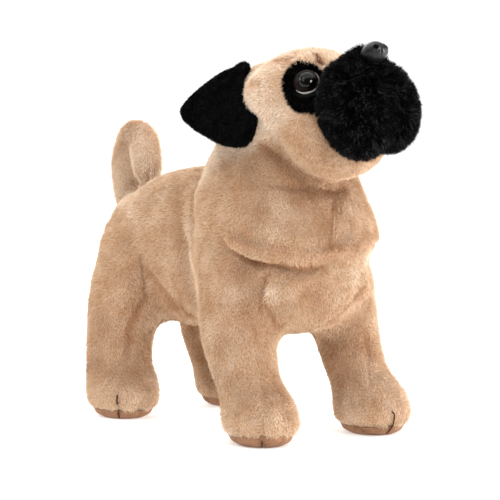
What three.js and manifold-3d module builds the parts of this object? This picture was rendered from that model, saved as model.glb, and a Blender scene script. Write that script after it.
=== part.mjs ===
// A stuffed plush toy pug, standing on four paws with its head raised.
// It is sewn from short fawn plush, with a long black plush muzzle, short black eye patches and
// ears, moulded plastic eyes and nose, suede soles and stitched toes, and is filled with fibre.
// Millimetres, +Z up. The toy faces -Y and its left side is +X. Its origin is on the floor,
// below the middle of its box.

import * as THREE from "three";
import { mergeVertices } from "three/addons/utils/BufferGeometryUtils.js";
import Module from "manifold-3d";

const wasm = await Module();
wasm.setup();

// Driving dimensions of the whole toy.
const BACK_HEIGHT = 263; // top of the back above the floor
const BELLY_HEIGHT = 99; // underside of the belly above the floor
const BODY_HALF_WIDTH = 72; // the barrel at mid length
const GAP = 0.3; // clearance between two pieces that touch

const SIDES = { left: 1, right: -1 };

// Materials, one for each cloth or moulding.
const material = (color, roughness, metalness = 0) =>
  new THREE.MeshStandardMaterial({ color, roughness, metalness });
const fawnPlush = material(0xdcb48c, 0.95);
const blackPlush = material(0x0c0b0c, 0.95);
const nosePlastic = material(0x141316, 0.3);
const eyePlastic = material(0x16100d, 0.08);
const rimPlastic = material(0xb9b2aa, 0.4);
const suede = material(0xab7e60, 0.9);
const thread = material(0x3a2013, 0.8);

// A three.js geometry as a solid, with its shared vertices merged.
function solidOf(geometry) {
  const bare = new THREE.BufferGeometry().setAttribute("position", geometry.getAttribute("position"));
  if (geometry.index) bare.setIndex(geometry.index);
  const merged = mergeVertices(bare, 1e-4);
  return new wasm.Manifold(
    new wasm.Mesh({
      numProp: 3,
      vertProperties: Float32Array.from(merged.getAttribute("position").array),
      triVerts: Uint32Array.from(merged.index.array),
    }),
  );
}

// A stuffed tube: rings carried along a smooth path, with a rounded cap at each end.
// A station is [x, y, z, half width across, half width in the other direction].
// along, where it is given, is the way that every ring faces; otherwise each faces along the path.
// roundness 1 gives elliptical rings, and less than 1 gives fuller corners.
// grow moves the whole surface outwards, or inwards when it is negative.
function tube({ stations, caps, along, roundness = 1, rings = 14, sides = 20, grow = 0 }) {
  const path = new THREE.CatmullRomCurve3(stations.map(([x, y, z]) => new THREE.Vector3(x, y, z)));
  const halves = new THREE.CatmullRomCurve3(stations.map(([, , , a, b]) => new THREE.Vector3(a, b, 0)));
  const quarter = Math.PI / 2;
  const capRings = 4;
  const rows = [];
  for (let k = 1; k <= capRings; k++) rows.push({ t: 0, angle: ((k - capRings) / capRings) * quarter });
  for (let k = 1; k < rings; k++) rows.push({ t: k / rings, angle: 0 });
  for (let k = 0; k < capRings; k++) rows.push({ t: 1, angle: (k / capRings) * quarter });

  const wide = new THREE.Vector3(1, 0, 0);
  const frameAt = (t) => {
    const tangent = along ? new THREE.Vector3(...along).normalize() : path.getTangent(t).normalize();
    const u = wide.clone().addScaledVector(tangent, -wide.dot(tangent)).normalize();
    return { tangent, u, v: tangent.clone().cross(u), centre: path.getPoint(t), half: halves.getPoint(t) };
  };
  const reach = (t, angle) => (caps[t] + grow) * Math.sin(angle);
  const full = (value) => Math.sign(value) * Math.abs(value) ** roundness;
  const positions = [];
  for (const { t, angle } of rows) {
    const { tangent, u, v, centre, half } = frameAt(t);
    if (angle !== 0) centre.addScaledVector(tangent, reach(t, angle));
    for (let j = 0; j < sides; j++) {
      const turn = (j / sides) * 2 * Math.PI;
      const point = centre
        .clone()
        .addScaledVector(u, (half.x + grow) * Math.cos(angle) * full(Math.cos(turn)))
        .addScaledVector(v, (half.y + grow) * Math.cos(angle) * full(Math.sin(turn)));
      positions.push(...point.toArray());
    }
  }
  for (const t of [0, 1]) {
    const { tangent, centre } = frameAt(t);
    positions.push(...centre.addScaledVector(tangent, reach(t, t === 0 ? -quarter : quarter)).toArray());
  }

  const index = [];
  const at = (row, j) => row * sides + (j % sides);
  const startPole = rows.length * sides;
  const endPole = startPole + 1;
  const lastRow = rows.length - 1;
  for (let j = 0; j < sides; j++) {
    for (let i = 0; i < lastRow; i++) {
      index.push(at(i, j), at(i, j + 1), at(i + 1, j + 1), at(i, j), at(i + 1, j + 1), at(i + 1, j));
    }
    index.push(startPole, at(0, j + 1), at(0, j), endPole, at(lastRow, j), at(lastRow, j + 1));
  }
  const geometry = new THREE.BufferGeometry();
  geometry.setAttribute("position", new THREE.Float32BufferAttribute(positions, 3));
  geometry.setIndex(index);
  return solidOf(geometry);
}

// A rounded lump with three half sizes.
function ball([x, y, z], [rx, ry, rz], detail = 5, grow = 0) {
  const geometry = new THREE.IcosahedronGeometry(1, detail);
  geometry.scale(rx + grow, ry + grow, rz + grow);
  geometry.translate(x, y, z);
  return solidOf(geometry);
}

// A block between two corners.
function block(low, high) {
  const size = high.map((h, i) => h - low[i]);
  const geometry = new THREE.BoxGeometry(...size);
  geometry.translate(...low.map((l, i) => l + size[i] / 2));
  return solidOf(geometry);
}

const joined = (...solids) => solids.reduce((a, b) => a.add(b));
const cutBy = (solid, ...tools) => tools.reduce((a, b) => a.subtract(b), solid);

// The largest closed piece of a solid, so that a cut leaves no loose scrap.
function largest(solid) {
  const pieces = solid.decompose();
  return pieces.reduce((a, b) => (b.volume() > a.volume() ? b : a));
}

const pieces = new THREE.Group();

function addPiece(name, solid, finish) {
  const mesh = largest(solid).getMesh();
  const geometry = new THREE.BufferGeometry();
  geometry.setAttribute("position", new THREE.BufferAttribute(Float32Array.from(mesh.vertProperties), 3));
  geometry.setIndex(new THREE.BufferAttribute(Uint32Array.from(mesh.triVerts), 1));
  geometry.computeVertexNormals();
  const piece = new THREE.Mesh(geometry, finish);
  piece.name = name;
  pieces.add(piece);
}

// Torso: a barrel from the rump to the chest, parted behind the shoulder where its panels are sewn.
const barrelHalfDepth = (BACK_HEIGHT - BELLY_HEIGHT) / 2;
const barrelMidHeight = (BACK_HEIGHT + BELLY_HEIGHT) / 2;
const SHOULDER_SEAM_Y = -14;
const torso = (grow = 0) =>
  tube({
    stations: [
      [0, 140, barrelMidHeight - 2, 59, 60],
      [0, 104, barrelMidHeight - 4, 69, barrelHalfDepth - 4],
      [0, 55, barrelMidHeight - 2, BODY_HALF_WIDTH, barrelHalfDepth + 2],
      [0, 5, barrelMidHeight, BODY_HALF_WIDTH + 2, barrelHalfDepth],
      [0, -50, barrelMidHeight - 2, BODY_HALF_WIDTH + 4, barrelHalfDepth - 2],
      [0, -95, barrelMidHeight - 8, BODY_HALF_WIDTH + 5, barrelHalfDepth - 9],
      [0, -118, barrelMidHeight - 14, 69, 62],
    ],
    along: [0, -1, 0],
    caps: [51, 38],
    roundness: 0.92,
    rings: 12,
    sides: 28,
    grow,
  });

// Neck: a thick roll from the withers to the head, which ends below in a fold across the chest.
const neck = (grow = 0) =>
  tube({
    stations: [
      [0, -78, 192, 86, 74],
      [0, -82, 205, 94, 82],
      [0, -77, 228, 90, 82],
      [0, -73, 250, 82, 77],
      [0, -73, 270, 74, 68],
      [0, -79, 290, 62, 60],
      [0, -90, 315, 50, 49],
    ],
    along: [0, -0.22, 1],
    caps: [7, 16],
    roundness: 0.85,
    rings: 12,
    sides: 24,
    grow,
  });

// Head, in its own frame: the face looks along -Y and the crown is +Z.
const HEAD_CENTRE = [0, -105, 340];
const HEAD_PITCH = 34; // degrees that the nose is raised
const headFrame = new THREE.Matrix4()
  .makeTranslation(...HEAD_CENTRE)
  .multiply(new THREE.Matrix4().makeRotationX(THREE.MathUtils.degToRad(-HEAD_PITCH)));
const onHead = (solid) => solid.transform(headFrame.elements);

const skull = (grow = 0) =>
  joined(
    ball([0, 8, -12], [67, 70, 53], 4, grow),
    ball([0, 34, 12], [54, 40, 42], 3, grow),
    ball([0, -24, -52], [58, 48, 54], 3, grow),
  );

const MUZZLE = { y: -74, z: { left: -63, right: -66 }, lobeOffset: 19, lobe: { left: [33, 38, 48], right: [34, 38, 52] } };
const lobe = (name, grow) =>
  ball([SIDES[name] * MUZZLE.lobeOffset, MUZZLE.y, MUZZLE.z[name]], MUZZLE.lobe[name], 4, grow);
const muzzle = (grow = 0) =>
  joined(
    lobe("left", grow),
    lobe("right", grow),
    ball([0, -86, -27], [26, 27, 20], 3, grow),
  );

// Eyes: domes set in the face, each in a thin ring.
const EYE = { x: 36, y: -49, z: -20, radius: 13.5 };
const eyeAxis = (side) => new THREE.Vector3(side * 0.58, -0.8, -0.15).normalize();
const eye = (side, grow = 0) =>
  ball([side * EYE.x, EYE.y, EYE.z], [EYE.radius, EYE.radius, EYE.radius], 3, grow);

const EYE_RIM = { tube: 1.2, advance: 3 };
function eyeRim(side, grow = 0) {
  const ringRadius = Math.sqrt(EYE.radius ** 2 - EYE_RIM.advance ** 2) + EYE_RIM.tube + GAP;
  const geometry = new THREE.TorusGeometry(ringRadius, EYE_RIM.tube + grow, 6, 20);
  const turn = new THREE.Quaternion().setFromUnitVectors(new THREE.Vector3(0, 0, 1), eyeAxis(side));
  geometry.applyQuaternion(turn);
  const centre = new THREE.Vector3(side * EYE.x, EYE.y, EYE.z).addScaledVector(eyeAxis(side), EYE_RIM.advance);
  geometry.translate(...centre.toArray());
  return solidOf(geometry);
}

// Eye patch: a layer of black plush on the face, round the eye and up to the muzzle.
const PATCH_DEPTH = 3.5;
const eyePatch = (side) => ball([side * 41, -50, -26], [24, 20, 27], 3).intersect(skull(PATCH_DEPTH));

const NOSE = { y: -112, z: -25, halfSizes: [15, 13, 10] };
const NOSTRIL = { x: 6, rise: 3.5, radius: 2.6 };
const nose = (grow = 0) => ball([0, NOSE.y, NOSE.z], NOSE.halfSizes, 3, grow);
const nostril = (side) =>
  ball([side * NOSTRIL.x, NOSE.y - 12, NOSE.z + NOSTRIL.rise], [NOSTRIL.radius, 4, NOSTRIL.radius], 1);

// Ear: a soft three-cornered flap. It hangs from its root, with one corner out behind and one low,
// and its front edge is padded where it lies over the cheek.
const EAR = { root: [47, 17, 45], behind: [91, 76, 30], low: [85, 23, -44], half: 4.5, round: 9 };
const EAR_PAD = { thickness: 7, reach: 13 };
function earFlap(side, half) {
  const [root, behind, low] = [EAR.root, EAR.behind, EAR.low].map(
    ([x, y, z]) => new THREE.Vector3(side * x, y, z),
  );
  const u = low.clone().sub(root);
  const length = u.length();
  u.normalize();
  const outward = behind.clone().sub(root);
  const v = outward.clone().addScaledVector(u, -outward.dot(u)).normalize();
  const corner = { x: outward.dot(u), y: outward.dot(v) };
  const r = EAR.round;

  const outline = new THREE.Shape();
  outline.moveTo(0, -4);
  outline.quadraticCurveTo(length * 0.65, -26, length, -r * 0.3);
  outline.quadraticCurveTo(length + r * 0.8, r * 0.5, length, r);
  outline.quadraticCurveTo((length + corner.x) * 0.5 + 8, corner.y * 0.5, corner.x + r, corner.y - r * 0.5);
  outline.quadraticCurveTo(corner.x, corner.y + r * 0.3, corner.x - r * 0.8, corner.y - r);
  outline.lineTo(-4, r * 0.5);
  outline.quadraticCurveTo(-7, -1, 0, -4);
  const bevel = 3;
  const geometry = new THREE.ExtrudeGeometry(outline, {
    depth: 2 * (half - bevel),
    bevelThickness: bevel,
    bevelSize: bevel,
    bevelSegments: 2,
    curveSegments: 5,
  });
  geometry.translate(0, 0, bevel - half);
  const n = u.clone().cross(v);
  geometry.applyMatrix4(new THREE.Matrix4().makeBasis(u, v, n).setPosition(root));
  return solidOf(geometry);
}
const ear = (side) =>
  joined(earFlap(side, EAR.half), earFlap(side, EAR_PAD.reach).intersect(skull(EAR_PAD.thickness)));

// Legs: soft tubes, each with its own stance, that end in rounded paws.
const LEGS = {
  front_right: [
    [-46, -62, 200, 42, 56],
    [-57, -76, 150, 40, 48],
    [-65, -86, 100, 37, 41],
    [-67, -100, 64, 32.5, 36],
    [-68, -119, 42, 35, 40],
    [-68, -124, 22, 38, 44],
  ],
  front_left: [
    [44, -66, 200, 41, 56],
    [57, -84, 150, 39, 47],
    [65, -94, 100, 32.5, 38],
    [65, -110, 64, 31.5, 35],
    [67, -128, 42, 36, 40],
    [67, -134, 22, 39, 44],
  ],
  hind_right: [
    [-38, 114, 184, 40, 50],
    [-52, 113, 142, 42, 50],
    [-60, 124, 92, 35, 41],
    [-65, 121, 58, 34, 38],
    [-69, 111, 40, 37, 41],
    [-70, 107, 22, 38, 44],
  ],
  hind_left: [
    [38, 114, 184, 40, 50],
    [52, 114, 142, 42, 50],
    [60, 126, 92, 34, 39],
    [65, 121, 58, 33, 36],
    [69, 110, 40, 36, 39],
    [70, 105, 22, 38, 42],
  ],
};
const PAW_CAP = 26;
const leg = (name, grow = 0) =>
  tube({ stations: LEGS[name], along: [0, 0, -1], caps: [16, PAW_CAP], rings: 10, sides: 18, grow });

// Sole: the suede underside of a paw. Toe lines: dark stitches pulled into the front of the paw,
// across the sole's edge. A bearing is the way that a toe line faces, in degrees from straight ahead.
const SOLE_HEIGHT = 7;
const TOE_BEARINGS = {
  front_right: [-36, -4],
  front_left: [18, -10],
  hind_right: [-44, -4],
  hind_left: [44, 4],
};
const TOE_LINE = { width: 1.6, sunk: 0.8, thickness: 1.6, low: 2, high: 30 };
function toeSlab(name, bearing, grow = 0) {
  const [x, y] = LEGS[name].at(-1);
  const half = TOE_LINE.width / 2 + grow;
  const geometry = new THREE.BoxGeometry(2 * half, 70, TOE_LINE.high - TOE_LINE.low + 2 * grow);
  geometry.translate(0, -35, (TOE_LINE.high + TOE_LINE.low) / 2);
  geometry.rotateZ(THREE.MathUtils.degToRad(bearing));
  geometry.translate(x, y, 0);
  return solidOf(geometry);
}
const toeGroove = (name, bearing) =>
  toeSlab(name, bearing, GAP).subtract(leg(name, -(TOE_LINE.sunk + TOE_LINE.thickness + GAP)));
const toeThread = (name, bearing) =>
  toeSlab(name, bearing)
    .intersect(leg(name, -TOE_LINE.sunk))
    .subtract(leg(name, -(TOE_LINE.sunk + TOE_LINE.thickness)));

// Tail: a soft roll that rises from the rump, curls forward and comes down on the back.
const tail = () =>
  tube({
    stations: [
      [0, 178, 200, 17, 17],
      [0, 194.5, 232, 17.5, 17.5],
      [-1, 196.2, 264, 17.5, 17.5],
      [-2, 181, 291, 17, 17],
      [-3, 162, 286, 17, 17],
      [-4, 153, 256, 16.5, 16.5],
    ],
    caps: [10, 14],
    rings: 16,
    sides: 12,
  });

const far = 400;
const floor = block([-far, -far, -far], [far, far, 0]);
const behindSeam = block([-far, SHOULDER_SEAM_Y + GAP, 0], [far, far, far]);
const aheadOfSeam = block([-far, -far, 0], [far, SHOULDER_SEAM_Y, far]);
const belowSoleSeam = block([-far, -far, 0], [far, far, SOLE_HEIGHT]);
const upToSoleSeam = block([-far, -far, -far], [far, far, SOLE_HEIGHT + GAP]);

addPiece("torso_rear", torso().intersect(behindSeam), fawnPlush);
addPiece("torso_front", torso().intersect(aheadOfSeam), fawnPlush);
addPiece("neck", cutBy(neck(), torso(GAP)), fawnPlush);
addPiece("head", cutBy(onHead(cutBy(skull(), muzzle(GAP), eye(1, GAP), eye(-1, GAP),
  eyeRim(1, GAP), eyeRim(-1, GAP))), neck(GAP)), fawnPlush);
addPiece("muzzle", onHead(muzzle()), blackPlush);
addPiece("nose", onHead(cutBy(nose(), muzzle(GAP), nostril(1), nostril(-1))), nosePlastic);
for (const [name, side] of Object.entries(SIDES)) {
  const patch = cutBy(eyePatch(side), skull(GAP), muzzle(GAP), eye(side, GAP), eyeRim(side, GAP));
  addPiece(`eye_patch_${name}`, onHead(patch), blackPlush);
  addPiece(`eye_${name}`, onHead(cutBy(eye(side), muzzle(GAP))), eyePlastic);
  addPiece(`eye_rim_${name}`, onHead(cutBy(eyeRim(side), muzzle(GAP))), rimPlastic);
  addPiece(`ear_${name}`, onHead(cutBy(ear(side), skull(GAP))), blackPlush);
}
for (const name of Object.keys(LEGS)) {
  const grooves = TOE_BEARINGS[name].map((bearing) => toeGroove(name, bearing));
  addPiece(`leg_${name}`, cutBy(leg(name), torso(GAP), neck(GAP), upToSoleSeam, ...grooves), fawnPlush);
  addPiece(`sole_${name}`, cutBy(leg(name).intersect(belowSoleSeam), ...grooves), suede);
  TOE_BEARINGS[name].forEach((bearing, i) => {
    addPiece(`toe_line_${name}_${i + 1}`, toeThread(name, bearing), thread);
  });
}
addPiece("tail", cutBy(tail(), torso(GAP)), fawnPlush);

// The pieces moved so that the origin is below the middle of their box.
const box = new THREE.Box3().setFromObject(pieces);
const middle = box.getCenter(new THREE.Vector3());
pieces.position.set(-middle.x, -middle.y, -box.min.z);
const toy = new THREE.Group();
toy.add(pieces);

export default toy;
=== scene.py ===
"""A stuffed plush toy pug, dressed in its pile, eyes, nose, soles and stitches.

Metres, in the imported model's frame: the toy faces -Y, its left side is +X, and it stands on Z = 0.
"""
import math

import bmesh
import bpy
import numpy as np
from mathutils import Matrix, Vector


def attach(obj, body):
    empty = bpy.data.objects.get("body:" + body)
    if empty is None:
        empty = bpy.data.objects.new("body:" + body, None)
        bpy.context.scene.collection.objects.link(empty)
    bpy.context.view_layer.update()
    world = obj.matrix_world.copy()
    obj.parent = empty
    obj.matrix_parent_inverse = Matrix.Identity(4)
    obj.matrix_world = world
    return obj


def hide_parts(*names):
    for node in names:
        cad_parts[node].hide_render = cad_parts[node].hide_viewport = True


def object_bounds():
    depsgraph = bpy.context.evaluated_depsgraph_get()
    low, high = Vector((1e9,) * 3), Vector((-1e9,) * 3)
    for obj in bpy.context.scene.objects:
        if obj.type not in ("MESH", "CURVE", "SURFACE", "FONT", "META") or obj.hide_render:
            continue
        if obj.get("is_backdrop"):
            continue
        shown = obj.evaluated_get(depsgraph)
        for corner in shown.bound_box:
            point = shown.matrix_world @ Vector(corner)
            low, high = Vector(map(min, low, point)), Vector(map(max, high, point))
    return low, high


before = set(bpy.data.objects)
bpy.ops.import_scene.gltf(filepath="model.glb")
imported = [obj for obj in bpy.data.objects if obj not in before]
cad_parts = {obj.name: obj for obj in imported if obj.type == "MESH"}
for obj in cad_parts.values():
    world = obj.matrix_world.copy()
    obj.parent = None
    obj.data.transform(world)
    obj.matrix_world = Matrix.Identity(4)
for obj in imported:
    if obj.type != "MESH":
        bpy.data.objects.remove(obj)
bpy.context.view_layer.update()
MM = 0.001

# Camera
# The toy was photographed from its front right, from a little above the height of its middle,
# with a long lens. The picture is taken as 500 by 500 pixels.
CAMERA_TARGET = Vector((0.0, -0.0045, 0.1795))
CAMERA_AZIMUTH = -38.0
CAMERA_ELEVATION = 4.8
CAMERA_DISTANCE = 2.4
FOCAL_PIXELS = 2352.0
PICTURE_PIXELS = 500
SENSOR = 36.0

azimuth, elevation = math.radians(CAMERA_AZIMUTH), math.radians(CAMERA_ELEVATION)
level = math.cos(elevation)
back = Vector((math.sin(azimuth) * level, -math.cos(azimuth) * level, math.sin(elevation)))
camera = bpy.data.objects.new("camera", bpy.data.cameras.new("camera"))
camera.data.sensor_width = SENSOR
camera.data.lens = FOCAL_PIXELS / PICTURE_PIXELS * SENSOR
camera.location = CAMERA_TARGET + back * CAMERA_DISTANCE
camera.rotation_euler = (-back).to_track_quat("-Z", "Y").to_euler()
bpy.context.scene.collection.objects.link(camera)
bpy.context.scene.camera = camera

# Stuffed body
# Fawn plush panels are sewn inside out, turned, and filled with fibre through a gap that is then
# closed by hand. The skin is the knitted backing of the plush, under the pile.
PAWS = ("front_right", "front_left", "hind_right", "hind_left")
FLESH = ["torso_rear", "torso_front", "neck", "head", "tail", *[f"leg_{paw}" for paw in PAWS]]
PILE_DEPTH = 2.6 * MM


def mesh_piece(name, points, faces):
    """A new object from arrays of points and of faces with three or four corners each."""
    mesh = bpy.data.meshes.new(name)
    corners = faces.shape[1]
    mesh.vertices.add(len(points))
    mesh.vertices.foreach_set("co", points.astype(np.float32).ravel())
    mesh.loops.add(faces.size)
    mesh.loops.foreach_set("vertex_index", faces.astype(np.int32).ravel())
    mesh.polygons.add(len(faces))
    mesh.polygons.foreach_set("loop_start", np.arange(0, faces.size, corners, dtype=np.int32))
    mesh.update(calc_edges=True)
    mesh.polygons.foreach_set("use_smooth", np.full(len(faces), True))
    piece = bpy.data.objects.new(name, mesh)
    bpy.context.scene.collection.objects.link(piece)
    return piece


def points_of(mesh):
    """The mesh's vertices as an array of rows."""
    points = np.empty(len(mesh.vertices) * 3, np.float32)
    mesh.vertices.foreach_get("co", points)
    return points.reshape(-1, 3).astype(float)


def triangles_of(mesh):
    """The mesh's faces as rows of three corners."""
    mesh.calc_loop_triangles()
    corners = np.empty(len(mesh.loop_triangles) * 3, np.int32)
    mesh.loop_triangles.foreach_get("vertices", corners)
    return corners.reshape(-1, 3)


def normals_of(points, triangles):
    """Each point's outward direction: the sum of its triangles' cross products, made one long."""
    a, b, c = (points[triangles[:, k]] for k in range(3))
    face = np.cross(b - a, c - a)
    total = np.zeros_like(points)
    for k in range(3):
        np.add.at(total, triangles[:, k], face)
    return total / np.maximum(np.linalg.norm(total, axis=1, keepdims=True), 1e-12)


def node_shell(name, grow=0.0):
    """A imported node's points and triangles with its doubles merged, moved outwards by grow."""
    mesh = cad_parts[name].data
    points, merged = np.unique(np.round(points_of(mesh), 6), axis=0, return_inverse=True)
    triangles = merged.reshape(-1)[triangles_of(mesh)]
    return points + grow * normals_of(points, triangles), triangles


def fused(name, shells, voxel):
    """Closed shells melted into one skin: laid together and remeshed in cubes of the given size."""
    starts = np.cumsum([0] + [len(points) for points, _ in shells])
    points = np.vstack([points for points, _ in shells])
    triangles = np.vstack([t + start for (_, t), start in zip(shells, starts)])
    rough = mesh_piece(name + "_rough", points, triangles)
    remesh = rough.modifiers.new("melt", "REMESH")
    remesh.mode, remesh.voxel_size = "VOXEL", voxel
    whole = bpy.data.meshes.new_from_object(rough.evaluated_get(bpy.context.evaluated_depsgraph_get()))
    bpy.data.objects.remove(rough)
    skin = points_of(whole), triangles_of(whole)
    bpy.data.meshes.remove(whole)
    return skin


def softened(points, triangles, rounds):
    """Points moved half way to the mean of their neighbours, round after round. Each round is followed
    by a slightly longer step back, which keeps the stuffed volume."""
    edges = np.vstack([triangles[:, [0, 1]], triangles[:, [1, 2]], triangles[:, [2, 0]]])
    edges = np.unique(np.sort(edges, axis=1), axis=0)
    ends = np.concatenate([edges[:, 0], edges[:, 1]])
    others = np.concatenate([edges[:, 1], edges[:, 0]])
    count = np.bincount(ends, minlength=len(points))[:, None]
    for step in [0.5, -0.52] * rounds:
        mean = np.stack([np.bincount(ends, points[others, k], len(points)) for k in range(3)], axis=1) / count
        points = points + step * (mean - points)
    return points


def curved(a, b, c, d, t):
    """Places from b to c, at shares t of the way, on the smooth curve that also heeds a and d."""
    return 0.5 * (2 * b + (c - a) * t + (2 * a - 5 * b + 4 * c - d) * t**2 + (3 * b - a - 3 * c + d) * t**3)


def smooth_path(corners, step=1.0 * MM):
    """A curve through a few corners in millimetres, as close points."""
    corners = np.asarray(corners, float) * MM
    padded = np.vstack([2 * corners[0] - corners[1], corners, 2 * corners[-1] - corners[-2]])
    spans = []
    for a, b, c, d in zip(padded, padded[1:], padded[2:], padded[3:]):
        t = np.linspace(0, 1, max(2, int(np.linalg.norm(c - b) / step)), endpoint=False)[:, None]
        spans.append(curved(a, b, c, d, t))
    return np.vstack([*spans, corners[-1:]])


def settled(corners, points):
    """A smooth path drawn onto a skin: each place moves to the nearest of the skin's points, and the
    path is then smoothed by the mean of nine neighbours."""
    path = smooth_path(corners)
    close = points[np.all((points > path.min(0) - 12 * MM) & (points < path.max(0) + 12 * MM), axis=1)]
    near = close[np.linalg.norm(close[:, None] - path[None], axis=2).argmin(axis=0)]
    ends = np.pad(near, ((4, 4), (0, 0)), mode="edge")
    return np.stack([np.convolve(ends[:, k], np.full(9, 1 / 9), "valid") for k in range(3)], axis=1)


def nearest_on(points, path, reach):
    """The points within reach of a path: their indices, distances, and the nearest place along it."""
    close = np.all((points > path.min(0) - reach) & (points < path.max(0) + reach), axis=1)
    index = np.flatnonzero(close)
    apart = np.linalg.norm(points[index, None] - path[None], axis=2)
    place = apart.argmin(axis=1)
    apart = apart[np.arange(len(index)), place]
    keep = apart < reach
    return index[keep], apart[keep], place[keep]


def eased(x):
    """Values cut off below 0 and above 1."""
    return np.clip(x, 0, 1)


def hump(x):
    """A bell curve: 1 at 0, falling off evenly to both sides, and almost 0 beyond 2."""
    return np.exp(-(x**2))


def faded(place, count, ends):
    """1 along the middle of a path of so many points, easing to 0 over its first and last shares."""
    along = place / (count - 1)
    first, last = ends
    rise = eased(along / max(first, 1e-6))
    fall = eased((1 - along) / max(last, 1e-6))
    return np.sin(rise * math.pi / 2) * np.sin(fall * math.pi / 2)


def pressed(points, normals, path, depth, width, ends=(0.15, 0.15), sag=0.0):
    """A crease along a path: points move inwards by depth times a bell curve of the distance. A
    negative depth makes a roll of cloth, which may also sag straight down by the same curve."""
    index, apart, place = nearest_on(points, path, 3 * width)
    bell = (hump(apart / width) * faded(place, len(path), ends))[:, None]
    points[index] -= normals[index] * depth * bell + np.array([0, 0, sag]) * bell


def filled(name, shells, reach, voxel, rounds=12):
    """Shells joined with stuffed, rounded corners between them: each grows by the reach, they are
    melted into one skin, and the skin moves back in four steps, so that it bridges narrow gaps."""
    grown = [(points + reach * normals_of(points, triangles), triangles) for points, triangles in shells]
    points, triangles = fused(name, grown, voxel)
    points = softened(points, triangles, rounds)
    for _ in range(4):
        points = softened(points - reach / 4 * normals_of(points, triangles), triangles, 2)
    return points, triangles


# How far each shell is moved out before the joining, how far the joining reaches, and its voxels.
PANEL_GROW = 0.3 * MM
SOLE_GROW = 0.2 * MM
TAIL_GROW = 0.6 * MM
HEAD_GROW = {"head": 1.6, "muzzle": -8.0, "eye_patch_left": 1.0, "eye_left": -5.0,
             "eye_patch_right": 1.0, "eye_right": -5.0}
BODY_REACH = 11 * MM
TAIL_REACH = 8.5 * MM
SKIN_REACH = 5 * MM
BODY_VOXEL = 3.6 * MM
SKIN_VOXEL = 2.6 * MM
body_shells = [node_shell(name, PANEL_GROW) for name in FLESH if name not in ("head", "tail")]
body_shells += [node_shell(f"sole_{paw}", SOLE_GROW) for paw in PAWS]
body = filled("body", body_shells, BODY_REACH, BODY_VOXEL)
tail = filled("tail", [node_shell("tail", TAIL_GROW)], TAIL_REACH, SKIN_VOXEL)
head_shells = [node_shell(name, grow * MM) for name, grow in HEAD_GROW.items()]
skin_points, skin_triangles = filled("skin", [body, tail, *head_shells], SKIN_REACH, SKIN_VOXEL, 16)
skin_normals = normals_of(skin_points, skin_triangles)
skin_points = softened(skin_points - PILE_DEPTH * skin_normals, skin_triangles, 4)

# The head is built in its own frame, face along -Y, and looks up. Its eyes are drawn in from behind,
# which dents the cloth round them.
HEAD_CENTRE = np.array([0.0, -89.5, 340.0]) * MM
HEAD_PITCH = math.radians(34.0)
HEAD_TURN = np.array([
    [1, 0, 0],
    [0, math.cos(HEAD_PITCH), math.sin(HEAD_PITCH)],
    [0, -math.sin(HEAD_PITCH), math.cos(HEAD_PITCH)],
])
EYE_MIDDLE = np.array([37.2, -48.4, -20.0])
EYE_RADIUS = 13.5
EYE_DENT = 4.0 * MM
EYE_DENT_WIDTH = 17.0


def from_head(places):
    """Places in millimetres in the head's own frame as places on the toy in metres."""
    return np.asarray(places, float) * MM @ HEAD_TURN.T + HEAD_CENTRE


def to_head(points):
    """The reverse: metres on the toy to millimetres in the head's own frame."""
    return (points - HEAD_CENTRE) @ HEAD_TURN / MM


def near_eye(points, width):
    """1 at an eye's middle, falling off as a bell curve of the distance, whose width is in millimetres."""
    apart = [np.linalg.norm(to_head(points) - EYE_MIDDLE * [side, 1, 1], axis=1) for side in (1, -1)]
    return hump(np.min(apart, axis=0) / width)


skin_points = skin_points - skin_normals * (EYE_DENT * near_eye(skin_points, EYE_DENT_WIDTH))[:, None]

# Where the stuffing is slacker or, with a negative depth, fuller than the plain panels, on both sides:
# path on the left, depth, width.
STUFFING = [
    ([(66, -8, 240), (64, -14, 256), (59, -20, 272), (52, -26, 288)], 4.0, 20.0),
    ([(60, 186, 212), (64, 188, 190), (66, 186, 165)], -3.0, 26.0),
    ([(58, -124, 160), (50, -132, 140)], -3.0, 22.0),
]
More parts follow.
